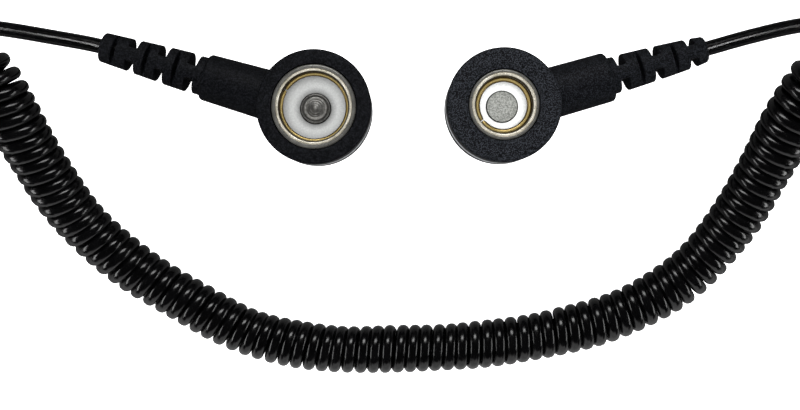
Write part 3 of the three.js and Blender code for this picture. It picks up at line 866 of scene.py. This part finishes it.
def build_moulding(side, end):
    """The round head and its stem, with the pocket for the socket and the stem's bore."""
    head, stem = head_place(end), stem_place(end)
    radius, height, edge = HEAD["radius"], HEAD["height"], HEAD["edge"]
    pocket = end["rim"] + POCKET["clearance"]
    bottom = SOCKET_FLOOR - SHEET - POCKET["under"]
    black = [MOULDING[side], SIDE_WALL, STEM_MOULDING[side]]
    disc = [(0, 0, 0), (radius, 0, edge), (radius, height, edge)]
    disc += [(pocket, height, POCKET["edge"]), (pocket, bottom, 0), (0, bottom, 0)]
    on_side = radius - 0.01
    body = turned(f"{side}_head", rounded(disc), black, head, 160, lambda r, _: int(r > on_side))
    start, tip = STEM["start"], end["stem_end"]
    rod = [(0, start, 0), (STEM["radius"], start, 0)]
    rod += [(end["stem_end_radius"], tip, STEM["edge"]), (0, tip, 0)]
    combined(body, turned("stem", rounded(rod), black, stem, 120, lambda r, _: 2), "UNION")
    combined(body, drum("pocket", pocket, bottom, height + 1, black, head, 160))
    combined(body, drum("tab_room", *TAB_ROOM, black, head, 96))
    combined(body, drum("rivet_room", *RIVET_ROOM, black, head, 64))
    seat, wide = tip - BORE["boot_seat"], end["collar"][1] + BORE["clearance"]
    bore = [(0, BORE["start"]), (BORE["radius"], BORE["start"]), (BORE["radius"], seat)]
    bore += [(wide, seat), (wide, tip + 1), (0, tip + 1)]
    combined(body, turned("bore", bore, black, stem, 96))
    crease(body)
    ride(body, side, f"{side}_head_moulding")


def build_socket(side, end):
    """The pressed cup with two rolled beads, its spring ring and the rivet through its floor."""
    head = head_place(end)
    rim, groove, lip, mouth, wall = (end[key] for key in ("rim", "groove", "lip", "mouth", "wall"))
    crest = HEAD["height"] - RIM_BELOW_FACE
    seat = SOCKET_FLOOR - SHEET
    inside = wall - SHEET
    bead = (groove - lip) * 0.4
    outside = [(RIVET_HOLE, seat, 0), (wall, seat, 0.4), (wall, crest - 1.3, 0.2)]
    outer_bead = [(rim, crest - 0.9, 0.15), (rim, crest, 0.3), (groove, crest, 0.3)]
    between = [(groove, crest - 0.22, 0.05), (groove - 0.06, crest - 0.22, 0.05)]
    inner_bead = [(groove - 0.1, crest - 0.03, bead), (lip, crest - 0.06, bead)]
    throat = [(mouth, crest - 0.7, 0.1), (mouth, crest - 0.9, 0.05), (inside, crest - 1.2, 0.1)]
    floor = [(inside, SOCKET_FLOOR, 0.3), (RIVET_HOLE, SOCKET_FLOOR, 0)]
    cup = rounded([*outside, *outer_bead, *between, *inner_bead, *throat, *floor])
    beads_from, wall_from, floor_from = crest - 0.3, SOCKET_FLOOR + 0.25, SOCKET_FLOOR - 0.05
    within = wall - 0.3

    def metal(radius, height):
        # The inner bead takes the paler cream metal, a painted highlight; the cup's inner wall and
        # its lip's underside take dark metal, painted shade.
        if height > beads_from:
            return int(radius < groove)
        if radius < within and height > wall_from:
            return 2
        return 3 if radius < within and height > floor_from else 0

    metals = [NICKEL, BEAD_HIGHLIGHT_METAL, SHADED_CUP_WALL, SOCKET_PAINT[side]]
    shell = turned(f"{side}_socket_cup", cup, metals, head, 144, metal)
    ride(shell, side, f"{side}_socket_shell")
    build_spring(side, end, head)
    build_rivet(side, head)


def build_spring(side, end, head):
    """A split ring of wire with slightly rounded ends."""
    wire = end["spring_wire"]
    radius = end["spring"] + wire
    steps = 121
    split = math.radians(end["split"])
    a = split + np.linspace(SPLIT / 2, 2 * math.pi - SPLIT / 2, steps)
    height = HEAD["height"] - SPRING_BELOW_FACE
    centres = np.stack([radius * np.cos(a), radius * np.sin(a), np.full(steps, height)], axis=-1)
    outward = np.stack([np.cos(a), np.sin(a), np.zeros(steps)], axis=-1)
    turn = np.array(head)[:3, :3]
    centres = centres @ turn.T + np.array(head)[:3, 3]
    from_end = np.minimum(np.arange(steps), np.arange(steps)[::-1])
    rounding = np.sqrt(np.clip(from_end / 1.5, 0.5, 1))
    frames = centres, outward @ turn.T, np.tile(-UP, (steps, 1))
    outline = oval(steps, 16, wire * rounding, wire * rounding)
    ride(sweep(f"{side}_spring", frames, outline, SPRING), side, f"{side}_spring_ring")


def build_rivet(side, head):
    base = SOCKET_FLOOR + RIVET_LIFT
    top = [(radius, base + height, corner) for radius, height, corner in RIVETS[side]]
    outline = rounded([*RIVET_SHANK, (SHANK_RADIUS, base, 0), *top])
    metals = [RIVET_METAL[side], RIVET_EDGE]
    edge = DARKER_BEYOND[side]
    rivet = turned(f"{side}_rivet_head", outline, metals, head, 96, lambda r, _: int(r > edge))
    ride(rivet, side, f"{side}_rivet")


def build_internals(side, end):
    """The solder tab, the resistor and its leads, the crimp ferrule and the conductor's end."""
    head, stem = head_place(end), stem_place(end)
    build_tab(side, head)
    build_lead(side, "front", stem)
    build_resistor(side, stem)
    build_lead(side, "rear", stem)
    ride(turned(f"{side}_crimp", rounded(CRIMP), [TIN], stem, 48), side, f"{side}_ferrule")
    s = np.linspace(CONDUCTOR["start"], end["stem_end"] - CONDUCTOR["short_of_end"], 24)
    outline = stranded(s) * (CONDUCTOR["radius"] / CABLE["strands"])
    frames = straight_frames(end, s, UP, -across_stem(end))
    strands = sweep(f"{side}_conductor_strands", frames, outline, COPPER)
    ride(strands, side, f"{side}_conductor_end")


def build_tab(side, head):
    low, high, hole, radius = TAB
    washer = [(hole, low, 0.05), (radius, low, 0.1), (radius, high, 0.1), (hole, high, 0.05)]
    tab = turned(f"{side}_tab", rounded(washer), [TIN], head, 72)
    start, finish, half = TONGUE
    outline = [(start, -half), (finish, -half), (finish, half), (start, half)]
    tongue = prism("tongue", outline, low, high, TIN, head)
    ride(combined(tab, tongue, "UNION"), side, f"{side}_terminal_tab")


def build_lead(side, which, stem):
    radius, (start, finish) = LEAD["radius"], LEAD[which]
    outline = [(0, start, 0), (radius, start, 0.08), (radius, finish, 0.08), (0, finish, 0)]
    lead = turned(f"{side}_lead_{which}", rounded(outline), [TIN], stem, 32)
    ride(lead, side, f"{side}_{which}_lead")


def build_resistor(side, stem):
    start, finish = RESISTOR
    outline = [(radius, start + along, corner) for radius, along, corner in HALF_RESISTOR]
    outline += [(radius, finish - along, corner) for radius, along, corner in HALF_RESISTOR[::-1]]

    def paint(radius, height):
        return band_at(height - start) if radius > PAINTED_BEYOND else 0

    body = banded(rounded(outline, 8), start)
    resistor = turned(f"{side}_resistor_body", body, [LACQUER, *BANDS], stem, 64, paint)
    ride(resistor, side, f"{side}_resistor")


def across_stem(end):
    return unit(along_stem(end, 0, 0, 1) - along_stem(end, 0))


def straight_frames(end, s, normal, binormal):
    """Frames along a stem's axis."""
    centres = np.array([along_stem(end, distance) for distance in s])
    return centres, np.tile(normal, (len(s), 1)), np.tile(binormal, (len(s), 1))


def band_at(distance):
    """The number of the colour band at a distance along a resistor, or 0 between bands."""
    for number, start in enumerate(BAND_STARTS, 1):
        if start < distance < start + BAND_WIDTH:
            return number
    return 0


def banded(outline, start):
    """An outline with points added where colour bands begin and end."""
    edges = sorted(start + at + extra for at in BAND_STARTS for extra in (0, BAND_WIDTH))
    points = []
    for a, b in zip(outline, outline[1:]):
        points.append(a)
        for edge in edges:
            if a[1] + 1e-4 < edge < b[1] - 1e-4:
                points.append(a + (b - a) * (edge - a[1]) / (b[1] - a[1]))
    return [*points, outline[-1]]


def prism(name, outline, low, high, material, place):
    """A solid with a four-sided outline, anticlockwise."""
    points = [(x, y, z) for z in (low, high) for x, y in outline]
    faces = [(3, 2, 1, 0), (4, 5, 6, 7), (0, 1, 5, 4), (1, 2, 6, 5), (2, 3, 7, 6), (3, 0, 4, 7)]
    return piece_from(name, points, faces, material, place)


# ---- the boots


def wedge(centre, root, top, halves, turn, material, place, past=1.5, half_depth=5):
    """A prism that cuts a slot across a boot. halves is half its width at root and at top, which
    are distances from the boot's axis. It goes on past top."""
    half_root, half_top = halves
    beyond = top + past
    wide = half_root + (half_top - half_root) * (beyond - root) / (top - root)
    outline = [(centre - half_root, root), (centre + half_root, root)]
    outline += [(centre + wide, beyond), (centre - wide, beyond)]
    lift = Matrix.Translation((0, 0, STEM["axis"]))
    about_stem = place @ lift @ Matrix.Rotation(turn, 4, "X")
    return prism("wedge", outline, -half_depth, half_depth, material, about_stem)


def build_boot(side, end):
    """The strain relief: slotted from the sides between segments and from front and back in their
    middles, so that it bends every way. It's made whole, then cut between its joints."""
    head, stem = head_place(end), stem_place(end)
    black = STEM_MOULDING[side]
    collar_end, collar_radius = end["collar"]
    segments = end["segments"]
    root = end["stem_end"] - BOOT_ROOT
    last_start, tip = segments[-1][:2]
    outline = [(0, root, 0), (collar_radius, root, 0.1), (collar_radius - 0.05, collar_end, 0.25)]
    for start, finish, from_radius, to_radius in segments:
        outline += [(from_radius, start, 0.3), (to_radius, finish, 0.3)]
    outline.append((0, tip, 0))
    boot = turned(f"{side}_boot", rounded(outline), [black], stem, 96)
    ends = [collar_end, *(segment[1] for segment in segments)]
    pivots = [(before + segment[0]) / 2 for before, segment in zip(ends, segments)]
    for pivot, segment in zip(pivots, segments):
        for turn in (0, math.pi):
            cut = wedge(pivot, NECK, segment[2], (SIDE_SLOT, SIDE_SLOT), turn, black, head)
            combined(boot, cut)
    for start, finish, radius, _ in segments:
        if finish - start > SHORTEST_SLOTTED:
            middle = (start + finish) / 2
            for turn in (math.pi / 2, -math.pi / 2):
                halves = FRONT_SLOT[side]
                cut = wedge(middle, FRONT_SLOT_DEPTH, radius, halves, turn, black, head)
                combined(boot, cut)
    thin, thick = CABLE["in_boot"] + 0.03, CABLE["radius"] + 0.02
    bore = [(0, root + BOOT_SEAT), (thin, root + BOOT_SEAT), (thin, last_start + BOOT_SEAT)]
    bore += [(thick, last_start + BOOT_SEAT), (thick, tip + 1), (0, tip + 1)]
    combined(boot, turned("bore", bore, [black], stem, 48))
    moulded(boot, BOOT_VOXEL, 3)
    cuts = [(start + finish) / 2 for start, finish, _, _ in segments[:2]]
    split_boot(side, end, boot, cuts, pivots)
    limits = [root + CABLE_SEATS[0], *cuts, last_start + CABLE_SEATS[1]]
    build_boot_cable(side, end, limits, pivots)


def split_boot(side, end, boot, cuts, pivots):
    """Cuts a boot into a piece for each of its joints."""
    nodes = [[f"{side}_boot_root"], [f"{side}_boot_a"], [f"{side}_boot_b", f"{side}_boot_end"]]
    along = unit(along_stem(end, 1) - along_stem(end, 0))
    places = [in_frame(along_stem(end, cut)) for cut in cuts]
    for k, pivot in enumerate(pivots):
        planes = [(place, along) for place in places[max(k - 1, 0) : k]]
        planes += [(place, -along) for place in places[k : k + 1]]
        part = sliced(boot, f"{side}_boot_neck_{k + 1}", planes)
        flex(part)
        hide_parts(*nodes[k])
    bpy.data.objects.remove(boot)


def flex(piece):
    """Bakes a boot piece's placement into its mesh."""
    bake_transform(piece)


def build_boot_cable(side, end, limits, pivots):
    """The cable inside the boot, which shows at the bottom of its front slots."""
    for k, pivot in enumerate(pivots):
        s = np.linspace(limits[k], limits[k + 1], 16)
        frames = straight_frames(end, s, across_stem(end), UP)
        outline = oval(len(s), CABLE["sides"], CABLE["in_boot"], CABLE["in_boot"])
        cable = sweep(f"{side}_boot_cable_{k + 1}", frames, outline, JACKET)
        flex(cable)


# ---- the whole

for side, sign in SIDES.items():
    build_coil(side, sign)
    build_tail(side, sign)
    for build in (build_moulding, build_socket, build_internals, build_boot):
        build(side, ENDS[side])

# ---- floor, light and camera

CAMERA_HEIGHT = 165
VIEW_WIDTH = 132.3  # how much of the bench the picture spans
VIEW_CENTRE = np.array([0.0, 23.2, 0.0])


def add_floor():
    bpy.ops.mesh.primitive_plane_add(size=4)
    floor = bpy.context.object
    floor.name = "floor"
    floor.data.materials.append(floor_material())


def add_light(name, place, size, power, lights, only=None):
    """A softbox, aimed at the middle of the view. It lights matte surfaces or glossy ones, and
    perhaps only the pieces in a collection."""
    data = bpy.data.lights.new(name, "AREA")
    data.shape = "RECTANGLE"
    data.size, data.size_y = (length * MM for length in size)
    data.energy = power
    light = added(name, data)
    light.visible_diffuse = lights != "glossy"
    light.visible_glossy = lights != "matte"
    middle = VIEW_CENTRE + SHIFT
    light.location = Vector((middle + place) * MM)
    to_target = Vector(middle * MM) - light.location
    light.rotation_euler = to_target.to_track_quat("-Z", "Y").to_euler()
    light.light_linking.receiver_collection = only


def add_world(matte, glossy):
    """An even surround, dimmer in reflections than it lights the bench."""
    world = bpy.data.worlds.new("studio")
    world.use_nodes = True
    tree = world.node_tree
    mirrored = tree.nodes.new("ShaderNodeLightPath").outputs["Is Glossy Ray"]
    strength = tree.nodes.new("ShaderNodeMapRange")
    strength.inputs["To Min"].default_value = matte
    strength.inputs["To Max"].default_value = glossy
    tree.links.new(mirrored, strength.inputs["Value"])
    background = tree.nodes["Background"].inputs
    tree.links.new(strength.outputs["Result"], background["Strength"])
    background["Color"].default_value = (1, 1, 1, 1)
    scene.world = world


def add_camera():
    data = bpy.data.cameras.new("camera")
    data.sensor_width = 36
    data.lens = data.sensor_width * CAMERA_HEIGHT / VIEW_WIDTH
    data.clip_start = 0.01
    camera = added("camera", data)
    camera.location = Vector((VIEW_CENTRE + SHIFT) * MM) + Vector((0, 0, CAMERA_HEIGHT * MM))
    scene.camera = camera


add_floor()
add_world(0.85, 0.012)
add_light("overhead", (0, 0, 520), (420, 420), 4.0, "matte")
add_light("lamp", (0, 152, 160), (130, 66), 0.18, "glossy")
cables = bpy.data.collections.new("cables")
for piece in list(scene.objects):
    if "tail_jacket" in piece.name or "boot_cable" in piece.name:
        cables.objects.link(piece)
for side, sign in SIDES.items():
    add_light(f"{side}_strip", (sign * 112, 4, 164), (110, 8), 0.07, "glossy", cables)
    add_light(f"{side}_panel", (sign * 230, -36, 70), (175, 45), 0.13, "glossy")
add_light("near_panel", (0, -330, 60), (400, 120), 0.12, "glossy")
add_camera()
scene.view_settings.view_transform = "Standard"
